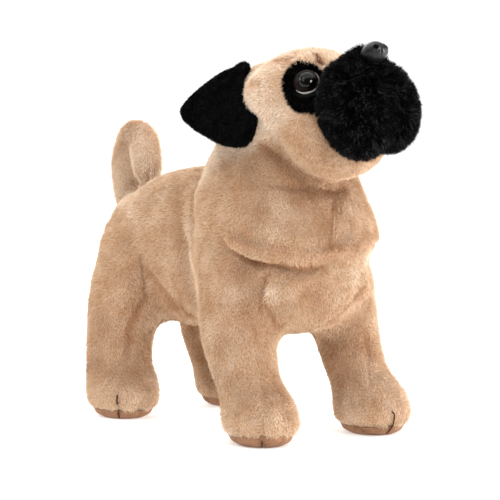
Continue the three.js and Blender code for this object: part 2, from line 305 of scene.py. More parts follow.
# A roll of slack cloth across the chest, and the folds and seams round it, on the throat, down the
# front, on the brow and on the tail: path, depth, width, how much painted shade darkens the pile in it
# (for the streak on the brow, the dark of its black hairs).
CHEST_ROLL = [(-91, -78, 204), (-85, -98, 196), (-78, -108, 190), (-69, -119, 186), (-58, -129, 183),
              (-45, -135, 180), (-31, -140, 180), (-15, -143, 184), (5, -145, 190), (25, -143, 194),
              (46, -134, 196)]
SINGLE_CREASES = [
    ([(-92, -72, 203), (-88, -81, 197), (-80, -90, 188), (-73, -95, 182), (-66, -108, 178), (-59, -120, 175),
      (-48, -129, 172), (-35, -134, 170), (-23, -138, 171), (-9, -139, 175)], 4.6, 4.4, 1.0),
    ([(-92, -82, 205), (-89, -96, 203), (-84, -108, 200), (-77, -118, 197), (-67, -128, 194),
      (-55, -135, 191), (-42, -140, 190), (-28, -144, 192), (-11, -145, 195), (8, -145, 199)],
     2.2, 4.0, 0.25),
    ([(8, -145, 186), (25, -144, 187), (46, -139, 188), (64, -125, 190), (78, -106, 194)], 2.4, 3.4, 0.5),
    ([(26, -143, 200), (51, -135, 203), (70, -118, 208)], 1.6, 3.6, 0.3),
    ([(-62, -102, 254), (-50, -113, 252), (-35, -120, 250), (-17, -125, 250), (-2, -126, 248),
      (17, -126, 246), (30, -122, 247)], 2.4, 3.0, 0.6),
    ([(6, -129, 241), (1, -135, 227), (-4, -141, 212), (-8, -144, 198)], 2.4, 2.4, 0.7),
    ([(-64, -115, 173), (-65, -111, 157), (-66, -108, 141), (-71, -108, 127)], 3.0, 2.6, 0.8),
    ([(-64, -108, 141), (-59, -109, 131), (-52, -108, 121), (-41, -102, 111)], 2.8, 2.8, 0.7),
    ([(58, -118, 172), (54, -124, 159), (40, -131, 146), (27, -131, 133), (13, -125, 120), (0, -117, 110)],
     1.6, 3.2, 0.3),
    ([(61, -115, 109), (63, -119, 88), (60, -125, 72), (52, -135, 55)], 2.0, 2.4, 0.5),
    ([(-36, -91, 373), (-36, -111, 374), (-28, -118, 377)], 3.6, 3.4, 1.7),
    ([(-15, -124, 378), (-16, -134, 374), (-17, -142, 368)], 0.7, 2.7, 2.4),
    ([(-9, 160, 262), (-12, 158, 250), (-11, 161, 238), (-6, 165, 228)], 2.0, 2.2, 0.6),
]
# Folds and seams that both sides have, given for the left in the same way: haunch, flank, jaw, cheek.
PAIRED_CREASES = [
    ([(71, 91, 178), (69, 87, 156), (68, 86, 133), (71, 94, 112), (75, 103, 92), (78, 105, 72),
      (82, 102, 56)], 2.6, 3.4, 0.7),
    ([(70, 85, 165), (69, 74, 154), (66, 61, 143), (57, 52, 125), (35, 60, 104)], 2.2, 5.0, 0.5),
    ([(57, -87, 295), (51, -99, 288), (43, -110, 279), (29, -118, 270), (15, -122, 263)], 2.6, 4.0, 0.6),
    ([(59, -78, 355), (59, -90, 352), (60, -100, 350)], 2.4, 2.6, 0.5),
]
# Soft raised ridges over the eye and behind the shoulder: path, height, width.
RIDGES = [
    ([(-41, -122, 368), (-33, -126, 371), (-26, -127, 375)], 5.0, 4.6),
    ([(-44, 28, 249), (-60, 15, 232), (-70, 8, 212), (-74, -1, 193), (-74, -7, 171), (-82, -25, 158)],
     3.2, 8.0),
]
ROLL_HEIGHT = 4.2 * MM
ROLL_WIDTH = 6.5 * MM
ROLL_SAG = 1.6 * MM


def both_sides(path):
    """A path on the left, and its mirror image on the right."""
    return [[(side * x, y, z) for x, y, z in path] for side in (1, -1)]


for path, depth, width in STUFFING:
    for one in both_sides(path):
        pressed(skin_points, skin_normals, settled(one, skin_points), depth * MM, width * MM, (0.4, 0.4))
creases = list(SINGLE_CREASES)
creases += [(one, *rest) for path, *rest in PAIRED_CREASES for one in both_sides(path)]
lines = [(settled(path, skin_points), depth, width) for path, depth, width, _ in creases]
rolls = [(settled(path, skin_points), height, width) for path, height, width in RIDGES]
chest_roll = settled(CHEST_ROLL, skin_points)
skin_normals = normals_of(skin_points, skin_triangles)
pressed(skin_points, skin_normals, chest_roll, -ROLL_HEIGHT, ROLL_WIDTH, (0.1, 0.5), sag=ROLL_SAG)
for path, height, width in rolls:
    pressed(skin_points, skin_normals, path, -height * MM, width * MM, (0.3, 0.3))
for path, depth, width in lines:
    pressed(skin_points, skin_normals, path, depth * MM, width * MM)

# Toe stitches pull the plush in at the front of each paw. A paw has its middle and half widths at
# the height of its widest ring, closes below that as a rounded cap, and has a stitch at two bearings.
PAW = {
    "front_right": ((-68, -108.5), (38, 44), (-36, -4)),
    "front_left": ((67, -118.5), (39, 44), (18, -10)),
    "hind_right": ((-70, 122.5), (38, 44), (-44, -4)),
    "hind_left": ((70, 120.5), (38, 42), (44, 4)),
}
PAW_RING_HEIGHT = 22.0
PAW_CAP = 26.0


def paw_place(paw, bearing, height, grow=0.0):
    """The place on a paw's outside at a bearing from straight ahead and a height, in metres: the
    ring's ellipse, narrowed by the cosine of the cap's angle where it is below the ring."""
    (x, y), (a, b), _ = PAW[paw]
    below = eased((PAW_RING_HEIGHT - height) / PAW_CAP)
    narrowing = np.sqrt(1 - below**2)
    turn = np.radians(bearing)
    way = np.stack([np.sin(turn), -np.cos(turn)], axis=-1)
    radius = narrowing / np.sqrt((way[..., 0] / a) ** 2 + (way[..., 1] / b) ** 2) + grow
    flat = np.array([x, y]) + radius[..., None] * way
    height = np.broadcast_to(np.asarray(height, float), radius.shape)
    return np.concatenate([flat, height[..., None]], axis=-1) * MM


TOE_HEIGHTS = np.array([2.0, 7.0, 13.0, 20.0, 27.0, 32.0])
TOE_DEPTH = 3.0 * MM
TOE_WIDTH = 2.8 * MM
SKIN_LOWEST = 3.0 * MM
for paw in PAWS:
    for bearing in PAW[paw][2]:
        toe_places = paw_place(paw, np.full(len(TOE_HEIGHTS), float(bearing)), TOE_HEIGHTS, -3.0)
        toe_path = settled(toe_places / MM, skin_points)
        pressed(skin_points, skin_normals, toe_path, TOE_DEPTH, TOE_WIDTH, (0.0, 0.35))
skin_points = softened(skin_points, skin_triangles, 2)
skin_points[:, 2] = np.maximum(skin_points[:, 2], SKIN_LOWEST)
skin_normals = normals_of(skin_points, skin_triangles)
skin_piece = mesh_piece("skin", skin_points, skin_triangles)
shade_lines = [(settled(path, skin_points), width, dark) for path, _, width, dark in creases]

# Spots where the pile is painted darker and warmer as shade, or paler as light: middle, radius, how
# strong.
SHADE_SPOTS = [
    ((-84, -87, 170), 15, 0.50), ((-84, -101, 127), 13, 0.40), ((-26, -133, 141), 18, 0.35),
    ((-30, -115, 262), 26, 0.50), ((-58, 63, 126), 24, 0.60), ((37, -104, 74), 22, 0.50),
    ((-92, 123, 92), 16, 0.30), ((-80, -100, 205), 12, 0.30),
]
LIGHT_SPOTS = [
    ((-52, -119, 237), 15, 0.60), ((-64, -125, 208), 13, 0.50), ((-62, -115, 149), 9, 0.90),
    ((28, -137, 160), 24, 0.90), ((-88, -90, 150), 10, 0.60), ((-100, -77, 111), 14, 0.60),
    ((-98, -90, 83), 13, 0.50), ((63, -142, 51), 24, 0.90), ((25, -136, 221), 24, 0.90),
    ((50, -128, 190), 20, 0.90), ((-40, 110, 226), 34, 0.50), ((90, -100, 128), 26, 0.90),
]


def spot_share(points, spots):
    """How much of a spot's painted shade or painted light falls on each point, from 0 to 1: a bell curve
    of the distance from the nearest one's middle, with an uneven edge, times how strong that one is."""
    x, y, z = (points / MM).T
    uneven = 1 + 0.35 * np.sin(0.21 * x + 0.15 * z) * np.sin(0.17 * y - 0.13 * z)
    share = np.zeros(len(points))
    for middle, radius, strength in spots:
        apart = np.linalg.norm(points / MM - middle, axis=1)
        share = np.maximum(share, strength * hump(uneven * apart / radius))
    return share


def fold_shade_and_streak(points):
    """How much the pile is darkened, from 0 to 1: painted shade in the shade spots and, along each seam or
    fold, a bell curve of the distance from the nearest one, times half of how dark that one is. Along the
    brow's streak it is the real dark of black hairs."""
    shade = spot_share(points, SHADE_SPOTS)
    for path, width, dark in shade_lines:
        index, apart, place = nearest_on(points, path, 3.2 * width * MM)
        bell = hump(apart / (1.3 * width * MM)) * faded(place, len(path), (0.15, 0.2))
        shade[index] = np.maximum(shade[index], dark * bell)
    return 0.5 * shade


HEAD_LINE = 283


def head_height(points):
    """How high points in millimetres are, counted along a slant so that the head is above HEAD_LINE."""
    return points[:, 2] + 0.55 * (points[:, 1] + 90)


def paler(points):
    """How much paler the pile is painted, from 0 to 1: on the head, and as painted light on the tail,
    along the raised ridges, in the light spots and, less, on the paws."""
    x, y, z = (points / MM).T
    head = eased((head_height(points / MM) - HEAD_LINE) / 14) * eased((20 - y) / 14)
    tail = 0.8 * eased((y - 150) / 6) * eased((z - 212) / 10)
    paws = 0.5 * eased((48 - z) / 22)
    share = np.max([head, tail, paws, spot_share(points, LIGHT_SPOTS)], axis=0)
    # A painted highlight runs along each raised ridge.
    for path, _, width in rolls:
        index, apart, place = nearest_on(points, path, 2 * width * MM)
        bell = hump(apart / (0.7 * width * MM)) * faded(place, len(path), (0.3, 0.3))
        share[index] = np.maximum(share[index], bell)
    return share


def given(piece, key, values):
    """The piece carries a value for each of its points."""
    piece.data.attributes.new(key, "FLOAT", "POINT").data.foreach_set("value", np.asarray(values, np.float32))


# The backing carries the same painted shade and painted light as the pile.
given(skin_piece, "fold", fold_shade_and_streak(skin_points))
given(skin_piece, "pale", paler(skin_points))


def painted(piece, material):
    """The piece wears one material."""
    piece.data.materials.clear()
    piece.data.materials.append(material)


def node(tree, kind, **inputs):
    """A shader node with some of its sockets set: a linked output or a plain value for each. A socket
    goes by its name, or by its number after an i."""
    made = tree.nodes.new(kind)
    for key, value in inputs.items():
        socket = made.inputs[int(key[1:]) if key[0] == "i" and key[1:].isdigit() else key.replace("_", " ")]
        if isinstance(value, bpy.types.NodeSocket):
            tree.links.new(value, socket)
        else:
            socket.default_value = value
    return made


def blank_material(name, roughness, shine=0.5):
    """A node material with one Principled shader of a roughness and a shine, with its tree."""
    material = bpy.data.materials.new(name)
    material.use_nodes = True
    shader = material.node_tree.nodes["Principled BSDF"]
    shader.inputs["Roughness"].default_value = roughness
    shader.inputs["Specular IOR Level"].default_value = shine
    return material, material.node_tree, shader


def colour_ramp(tree, factor, stops):
    """A ramp through colours: pairs of position and red, green, blue."""
    ramp = node(tree, "ShaderNodeValToRGB", Fac=factor)
    elements = ramp.color_ramp.elements
    while len(elements) > 1:
        elements.remove(elements[-1])
    for k, (position, colour) in enumerate(stops):
        stop = elements[0] if k == 0 else elements.new(position)
        stop.position, stop.color = position, (*colour, 1)
    return ramp.outputs["Color"]


def times(tree, colour, factor):
    """Two colours multiplied."""
    mix = node(tree, "ShaderNodeMix")
    mix.data_type, mix.blend_type = "RGBA", "MULTIPLY"
    mix.inputs[0].default_value = 1.0
    tree.links.new(colour, mix.inputs[6])
    tree.links.new(factor, mix.inputs[7])
    return mix.outputs[2]


def noise(tree, place, scale, detail=2.0, roughness=0.5):
    """A soft random pattern at a place."""
    return node(tree, "ShaderNodeTexNoise", Vector=place, Scale=scale, Detail=detail,
                Roughness=roughness).outputs["Fac"]


def attribute(tree, key):
    """A value that the mesh carries."""
    read = node(tree, "ShaderNodeAttribute")
    read.attribute_name = key
    return read.outputs["Fac"]


def relief(tree, shader, height, strength, depth):
    """The shader's surface rises and falls with a height."""
    bump = node(tree, "ShaderNodeBump", Height=height, Strength=strength, Distance=depth)
    tree.links.new(bump.outputs["Normal"], shader.inputs["Normal"])


# The pile's colour from root to tip, darker and more orange at the roots as painted shade down in the
# pile, and what it is multiplied by: in uneven patches; by painted shade in a fold (an ordinary one half
# way, a dark streak at the end); where it is paler, by painted light; and from tuft to tuft.
FAWN_HEIGHT = [(0.0, (0.44, 0.24, 0.115)), (0.45, (0.67, 0.485, 0.325)), (1.0, (0.81, 0.695, 0.56))]
FAWN_PATCHES = [(0.36, (1.02, 1.02, 1.02)), (0.66, (0.84, 0.73, 0.62))]
FAWN_FOLD = [(0.0, (1, 1, 1)), (0.5, (0.70, 0.49, 0.34)), (0.95, (0.22, 0.14, 0.10))]
FAWN_PALE = [(0.0, (0.96, 0.93, 0.91)), (1.0, (1.21, 1.36, 1.56))]
FAWN_TUFTS = [(0.0, (0.86, 0.80, 0.73)), (1.0, (1.08, 1.09, 1.10))]


def fawn_plush(name, on_skin):
    """Fawn pile: darker and more orange at the roots, as painted shade down in the pile, with painted shade
    in folds and painted light where it is paler, pale at the tips, in soft uneven patches, and a little
    lighter or darker from tuft to tuft."""
    material, tree, shader = blank_material(name, 0.9, 0.15)
    place = node(tree, "ShaderNodeTexCoord").outputs["Object"]
    patches = noise(tree, place, 38.0, 4.0, 0.6)
    grain = noise(tree, place, 420.0, 2.0, 0.6)
    height = grain if on_skin else attribute(tree, "rise")
    pile = colour_ramp(tree, height, FAWN_HEIGHT)
    pile = times(tree, pile, colour_ramp(tree, patches, FAWN_PATCHES))
    pile = times(tree, pile, colour_ramp(tree, attribute(tree, "fold"), FAWN_FOLD))
    pile = times(tree, pile, colour_ramp(tree, attribute(tree, "pale"), FAWN_PALE))
    if not on_skin:
        pile = times(tree, pile, colour_ramp(tree, attribute(tree, "tone"), FAWN_TUFTS))
    tree.links.new(pile, shader.inputs["Base Color"])
    shader.inputs["Sheen Weight"].default_value = 0.45
    shader.inputs["Sheen Roughness"].default_value = 0.45
    shader.inputs["Sheen Tint"].default_value = (1.0, 0.94, 0.87, 1)
    if on_skin:
        relief(tree, shader, grain, 0.6, 0.8 * MM)
    return material


painted(skin_piece, fawn_plush("fawn_backing", True))
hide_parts(*FLESH)
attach(skin_piece, "root")

# Fawn pile
# The cloth is a dense, short plush that is cut from rolls: fine fibres stand in small tufts that
# lean down and back, and are brushed a little this way and that.
def unit(ways):
    """Directions made one long."""
    return ways / np.maximum(np.linalg.norm(ways, axis=-1, keepdims=True), 1e-9)


def ripples(points, wavelength, seed, waves=12):
    """A smooth random value at each point: a sum of sine waves of about one length, whose ways and
    starts are drawn with the seed, with a spread of about one."""
    rng = np.random.default_rng(seed)
    ways = unit(rng.normal(size=(waves, 3)))
    ways = ways * (2 * math.pi / (wavelength * rng.uniform(0.7, 1.5, (waves, 1))))
    starts = rng.uniform(0, 2 * math.pi, waves)
    return np.sin(points @ ways.T + starts).sum(axis=1) / math.sqrt(waves / 2)


def swayed(points, wavelength, seed):
    """A smooth random direction at each point: ripples for each axis, from three seeds in a row."""
    return np.stack([ripples(points, wavelength, seed + k) for k in range(3)], axis=1)


def roots_on(points, triangles, count, seed):
    """Roots spread evenly by area: a triangle for each equal step of summed area, and a random
    place in it. Gives their places and outward directions."""
    rng = np.random.default_rng(seed)
    a, b, c = (points[triangles[:, k]] for k in range(3))
    area = np.linalg.norm(np.cross(b - a, c - a), axis=1)
    summed = np.cumsum(area)
    chosen = np.searchsorted(summed, (np.arange(count) + rng.random(count)) / count * summed[-1])
    chosen = np.minimum(chosen, len(triangles) - 1)
    u, v = rng.random(count), rng.random(count)
    over = u + v > 1
    u[over], v[over] = 1 - u[over], 1 - v[over]
    share = np.stack([1 - u - v, u, v], axis=1)[:, :, None]
    normals = normals_of(points, triangles)
    corners = triangles[chosen]
    return (points[corners] * share).sum(axis=1), unit((normals[corners] * share).sum(axis=1))


def along_spine(points, spine):
    """For each point: the nearest place on a spine, as an index, with the spine's fine points and ways."""
    spine = np.asarray(spine, float) * MM
    steps = np.linspace(0, 1, 24, endpoint=False)[:, None]
    fine = np.vstack([a + (b - a) * steps for a, b in zip(spine, spine[1:])])
    apart = np.linalg.norm(points[:, None] - fine[None], axis=2)
    return apart.argmin(axis=1), fine, unit(np.gradient(fine, axis=0))


def unwrapped(points, spine):
    """Where points lie on an unwrap of a shape round its spine: across by the angle round the
    spine, up by the distance along it, both from 0 to 1."""
    place, fine, way = along_spine(points, spine)
    offset = points - fine[place]
    side = unit(np.cross(way[place], [0.31, 0.92, 0.24]))
    other = np.cross(way[place], side)
    angle = np.arctan2((offset * side).sum(axis=1), (offset * other).sum(axis=1))
    along = place + (offset * way[place]).sum(axis=1) / np.linalg.norm(fine[1] - fine[0])
    return np.stack([0.5 + angle / (2 * math.pi), (along - along.min()) / np.ptp(along)], axis=1)


def flattened(ways, normals):
    """Directions without what stands up from the cloth."""
    return ways - (ways * normals).sum(axis=1, keepdims=True) * normals


# A tuft's patch of the unwrap, how deep it is rooted, and how low a tip may hang.
TUFT_PATCH = 0.003
TUFT_SUNK = 0.4 * MM
TIP_LOWEST = 0.3 * MM


def tufts(name, roots, normals, lie, unwrap, length, width, lean, seed, bends=0, spread=0.25, evenness=0.7):
    """Tufts of fibre as closed three-sided spikes. Each starts at its root, leans from the outward
    direction towards the lie by the given angle in radians, and with bends curves further over on
    its way to the tip. length, width and lean hold one value, or one for each root. A tuft takes the
    light by a mean of each side's own direction and the skin's, so that the pile reads as cloth."""
    rng = np.random.default_rng(seed)
    count = len(roots)
    length = np.broadcast_to(length, count) * rng.uniform(0.72, 1.18, count)
    width = np.broadcast_to(width, count) * rng.uniform(0.8, 1.2, count)
    lean = np.broadcast_to(lean, count) * rng.uniform(0.75, 1.25, count)
    lie = unit(flattened(lie, normals) + spread * rng.normal(size=(count, 3)))
    lie = unit(flattened(lie, normals))
    across = unit(np.cross(lie, normals))
    rows = bends + 1
    centre = roots - TUFT_SUNK * normals
    rings = []
    for k in range(rows):
        bent = lean * (1 + 0.5 * k / rows) if bends else lean
        way = np.cos(bent)[:, None] * normals + np.sin(bent)[:, None] * lie
        wide = (width * (1 - 0.35 * k / rows))[:, None]
        ridge = unit(np.cross(way, across))
        ridge *= np.sign((ridge * normals).sum(axis=1, keepdims=True) + 1e-9)
        ring = [centre - 0.5 * wide * across, centre + 0.5 * wide * across, centre + 0.45 * wide * ridge]
        rings.append(np.stack(ring, axis=1))
        centre = centre + (length / rows)[:, None] * way
    points = np.concatenate([*rings, centre[:, None]], axis=1)
    points[..., 2] = np.maximum(points[..., 2], TIP_LOWEST)
    each = 3 * rows + 1
    faces = [(0, 1, 2)]
    for k in range(rows - 1):
        for j in range(3):
            low, next_low = 3 * k + j, 3 * k + (j + 1) % 3
            faces += [(low, low + 3, next_low + 3), (low, next_low + 3, next_low)]
    last = 3 * (rows - 1)
    faces += [(last + j, each - 1, last + (j + 1) % 3) for j in range(3)]
    pattern = np.array(faces)
    triangles = (np.arange(count)[:, None, None] * each + pattern[None]).reshape(-1, 3)
    a, b, c, d = (points[0, k] for k in (0, 1, 2, each - 1))
    if np.dot(np.cross(b - a, c - a), d - a) > 0:
        triangles = triangles[:, ::-1]
        pattern = pattern[:, ::-1]
    piece = mesh_piece(name, points.reshape(-1, 3), triangles)
    patch = [(step, 2 * k / rows - 1) for k in range(rows) for step in (-1.0, 1.0, 0.0)] + [(0.0, 1.0)]
    uv = unwrap[:, None] * (1 - TUFT_PATCH) + TUFT_PATCH / 2 + np.array(patch) * TUFT_PATCH / 2
    uv = uv[:, pattern.ravel()].reshape(-1, 2)
    piece.data.uv_layers.new(name="OFBake").data.foreach_set("uv", uv.astype(np.float32).ravel())
    rise = [k / rows for k in range(rows) for _ in range(3)] + [1.0]
    given(piece, "rise", np.tile(rise, count))
    given(piece, "tone", np.repeat(rng.random(count), each))
    a, b, c = (points.reshape(-1, 3)[triangles[:, k]] for k in range(3))
    facing = unit(np.cross(b - a, c - a))
    around = np.repeat(normals, len(pattern), axis=0)
    share = evenness * eased((facing * around).sum(axis=1, keepdims=True) + 0.35)
    facing = unit(facing * (1 - share) + around * share)
    directions = piece.data.attributes.new("custom_normal", "FLOAT_VECTOR", "FACE").data
    directions.foreach_set("vector", facing.astype(np.float32).ravel())
    return piece


def leg_spine(paw):
    """A leg's spine: from under the paw up into the body."""
    (x, y), _, _ = PAW[paw]
    return [(x, y, 0), (0.95 * x, y + (14 if y < 0 else 4), 60), (0.8 * x, y + (34 if y < 0 else 8), 150)]


BELLY_HEIGHT = 116


def on_leg(paw):
    """A test for the points of one leg: its quarter of the toy, under the belly."""
    left, ahead = "left" in paw, "front" in paw
    return lambda p: (p[:, 2] < BELLY_HEIGHT) & ((p[:, 0] > 0) == left) & ((p[:, 1] < 10) == ahead)


TAIL_SPINE = [(0, 193, 196), (0, 210, 232), (-1, 212, 264), (-2, 197, 291), (-3, 178, 286), (-4, 169, 244)]
# Regions of the pile, tried in this order: a test on points in millimetres, and the spine that the
# region is unwrapped round.
REGIONS = {
    "tail": (lambda p: (p[:, 1] > 150) & (p[:, 2] > 212) & (np.abs(p[:, 0]) < 30), TAIL_SPINE),
    **{f"leg_{paw}": (on_leg(paw), leg_spine(paw)) for paw in PAWS},
    "head": (lambda p: (head_height(p) > HEAD_LINE) & (p[:, 1] < 20),
             from_head([(0, 70, -20), (0, -110, -40)]) / MM),
    "neck": (lambda p: (p[:, 2] > 205) & (p[:, 1] < 8), [(0, -60, 190), (0, -60, 300)]),
    "torso_front": (lambda p: p[:, 1] < 1.5, [(0, 10, 180), (0, -150, 160)]),
    "torso_rear": (lambda p: p[:, 1] < 105, [(0, -30, 181), (0, 220, 181)]),
    "rump": (lambda p: p[:, 1] >= 105, [(0, -30, 181), (0, 220, 181)]),
}
TUFTS_PER_AREA = 0.66 / MM**2
FAWN_LENGTH = 5.2 * MM
FAWN_WIDTH = 1.35 * MM
FAWN_LEAN = math.radians(50)


def fawn_lie(points, normals):
    """Which way the fawn pile leans: back and down on the body, straight down on the legs and on what
    faces ahead, from the face to the nape on the head, and swayed by slow ripples, as if brushed."""
    x, y, z = (points / MM).T
    down = np.maximum(eased((150 - z) / 60), eased((-normals[:, 1] - 0.2) / 0.4))[:, None]
    head = eased((head_height(points / MM) - 270) / 30)[:, None]
    lie = (1 - down) * np.array([0.0, 0.75, -0.65]) + down * np.array([0.0, -0.3, -1.0])
    lie = (1 - head) * lie + head * (HEAD_TURN @ np.array([0.0, 0.95, -0.3]))
    return lie + 0.22 * swayed(points, 34 * MM, 11) + 0.18 * swayed(points, 9 * MM, 14)


# Eye patches and muzzle keep the fawn pile off.
PATCH_MIDDLE = np.array([41.0, -50.0, -24.6])
PATCH_HALF = np.array([24.0, 20.0, 29.0])
MUZZLE_LOBES = [
    ((19, -74, -63), (33, 38, 48)), ((-19, -74, -66), (34, 38, 52)), ((0, -86, -27), (26, 27, 20)),
]


def inside_ball(points, middle, half):
    """How far points are inside a rounded lump in the head's frame: 0 at its middle, 1 on its surface."""
    return np.linalg.norm((to_head(points) - np.asarray(middle)) / np.asarray(half), axis=1)


def black_share(points):
    """1 where black cloth covers the head and 0 where fawn cloth shows, with a blurred edge."""
    patch = np.min([inside_ball(points, PATCH_MIDDLE * [side, 1, 1], PATCH_HALF) for side in (1, -1)], axis=0)
    muzzle = np.min([inside_ball(points, middle, half) for middle, half in MUZZLE_LOBES], axis=0)
    return np.maximum(eased((1.04 - patch) / 0.08), eased((1.0 - muzzle) / 0.03))


SOLE_EDGE = 3.6
SCALLOP = 0.9
ROLLED_BACK = {"front_right": 4.2}


def sole_edge(paw, bearing):
    """How far the sole's suede comes up at a bearing round the paw, in millimetres, with its scallops. The
    right front paw rolls back a little, so that more of its sole shows ahead."""
    ahead = eased(np.cos(np.radians(bearing + 24))) ** 3
    return SOLE_EDGE + ROLLED_BACK.get(paw, 0.0) * ahead + SCALLOP * np.abs(np.sin(np.radians(bearing) * 6))


fawn_material = fawn_plush("fawn_pile", False)
region_of_face = np.full(len(skin_triangles), -1)
face_middles = skin_points[skin_triangles].mean(axis=1) / MM
for number, (test, _) in enumerate(REGIONS.values()):
    region_of_face[(region_of_face < 0) & test(face_middles)] = number
for number, (name, (_, spine)) in enumerate(REGIONS.items()):
    own = skin_triangles[region_of_face == number]
    a, b, c = (skin_points[own[:, k]] for k in range(3))
    area = np.linalg.norm(np.cross(b - a, c - a), axis=1).sum() / 2
    count = int(area * TUFTS_PER_AREA)
    roots, normals = roots_on(skin_points, own, count, 100 + number)
    rng = np.random.default_rng(200 + number)
    keep = rng.random(count) > black_share(roots)
    if name.startswith("leg"):
        paw = name.removeprefix("leg_")
        x, y, z = (roots / MM).T
        bearing = np.degrees(np.arctan2(x - PAW[paw][0][0], PAW[paw][0][1] - y))
        keep &= z > sole_edge(paw, bearing) - 1.0 + 0.7 * ripples(roots, 8 * MM, 17)
    roots, normals = roots[keep], normals[keep]
    shorter = np.where(roots[:, 2] < 30 * MM, 0.8, 1.0)
    lie = fawn_lie(roots, normals)
    if name == "tail":
        place, _, way = along_spine(roots, spine)
        lie = lie * 0.3 + way[place]
    pile = tufts(f"pile_{name}", roots, normals, lie, unwrapped(roots, spine),
                 FAWN_LENGTH * shorter, FAWN_WIDTH, FAWN_LEAN, 300 + number)
    # Each tuft carries its root's painted shade and painted light.
    for key, values in (("fold", fold_shade_and_streak(roots)), ("pale", paler(roots))):
        given(pile, key, np.repeat(values, len(pile.data.vertices) // len(roots)))
    painted(pile, fawn_material)
    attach(pile, "root")

# Muzzle
# Two stuffed lobes and a short bridge in long, soft black plush are sewn to the front of the head.
# The pile is about a centimetre long, stands well out, and clings together in small locks.
MUZZLE_INSET = 4.8 * MM
MUZZLE_REACH = 8 * MM
MUZZLE_TUFTS = 19500
MUZZLE_LENGTH = 9.5 * MM
MUZZLE_WIDTH = 0.95 * MM
MUZZLE_LEAN = math.radians(42)
# How many tufts cling together in a lock, and how far they lean to its middle.
TUFTS_PER_LOCK = 25
LOCK_PULL = 0.3
BRIDGE_DEPTH = 2.0 * MM
BRIDGE_WIDTH = 11 * MM
# The muzzle and its pile make room for the eyes.
EYE_ROOM = 9 * MM
EYE_ROOM_WIDTH = 21.0
# No black pile grows inside these lumps: the crown, the throat and the nose.
BARE_LUMPS = [((0, 8, -12), (62, 65, 48)), ((0, -24, -52), (53, 43, 49)), ((0, -112, -25), (15, 13, 10))]
# What black pile is multiplied by, from lock to lock and from tuft to tuft: tone, painted sheen on some
# locks, and a painted glint on a few tufts.
BLACK_LOCK_TONE_AND_SHEEN = [(0.42, (0.15, 0.15, 0.15)), (0.54, (1.0, 1.0, 1.0)), (0.70, (1.8, 1.8, 1.9))]
BLACK_TUFT_TONE_AND_GLINTS = [(0.0, (0.3, 0.3, 0.3)), (0.80, (0.8, 0.8, 0.8)), (0.87, (25.0, 25.0, 26.0))]


def black_plush(name, root, tip, shine, roughness=0.75):
    """Black pile: pure black between the tufts, with a painted cool dark grey sheen on the tips of some
    locks.
    """
    material, tree, shader = blank_material(name, roughness, shine)
    place = node(tree, "ShaderNodeTexCoord").outputs["Object"]
    pile = colour_ramp(tree, attribute(tree, "rise"), [(0.0, root), (1.0, tip)])
    pile = times(tree, pile, colour_ramp(tree, noise(tree, place, 70.0, 3.0, 0.65), BLACK_LOCK_TONE_AND_SHEEN))
    pile = times(tree, pile, colour_ramp(tree, attribute(tree, "tone"), BLACK_TUFT_TONE_AND_GLINTS))
    tree.links.new(pile, shader.inputs["Base Color"])
    return material


def speckled(name, scale, dark, light, roughness, shine=0.5, raised=0.0, depth=0.0):
    """A material between two colours in a fine noise, which may also raise the surface."""
    material, tree, shader = blank_material(name, roughness, shine)
    grain = noise(tree, node(tree, "ShaderNodeTexCoord").outputs["Object"], scale)
    tree.links.new(colour_ramp(tree, grain, [(0.3, dark), (0.7, light)]), shader.inputs["Base Color"])
    if raised:
        relief(tree, shader, grain, raised, depth)
    return material


def black_backing(name):
    """The knitted backing under black pile, with a fine grain."""
    return speckled(name, 500.0, (0.001, 0.001, 0.001), (0.004, 0.004, 0.0045), 0.9, 0.1, 0.5, 0.6 * MM)


def gathered(points, ways, normals, seed):
    """Ways turned so that neighbouring tufts lean together into locks: each bends towards the nearest
    of the middles, which are drawn among the roots."""
    rng = np.random.default_rng(seed)
    centres = points[rng.choice(len(points), size=len(points) // TUFTS_PER_LOCK, replace=False)]
    nearest = np.empty(len(points), int)
    for start in range(0, len(points), 4000):
        part = points[start:start + 4000]
        nearest[start:start + 4000] = np.linalg.norm(part[:, None] - centres[None], axis=2).argmin(axis=1)
    return ways + LOCK_PULL * flattened(centres[nearest] - points, normals) / MM


muzzle_points, muzzle_triangles = filled("muzzle_skin", [node_shell("muzzle")], MUZZLE_REACH, SKIN_VOXEL)
muzzle_points = muzzle_points - MUZZLE_INSET * normals_of(muzzle_points, muzzle_triangles)
muzzle_points = softened(muzzle_points, muzzle_triangles, 4)
muzzle_normals = normals_of(muzzle_points, muzzle_triangles)
bridge = settled(from_head([(24, -90, -22), (0, -92, -10), (-24, -90, -22)]) / MM, muzzle_points)
pressed(muzzle_points, muzzle_normals, bridge, BRIDGE_DEPTH, BRIDGE_WIDTH, (0.3, 0.3))
muzzle_points -= muzzle_normals * (EYE_ROOM * near_eye(muzzle_points, EYE_ROOM_WIDTH))[:, None]
muzzle_skin = mesh_piece("muzzle_skin", muzzle_points, muzzle_triangles)
painted(muzzle_skin, black_backing("black_backing"))
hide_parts("muzzle")
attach(muzzle_skin, "root")

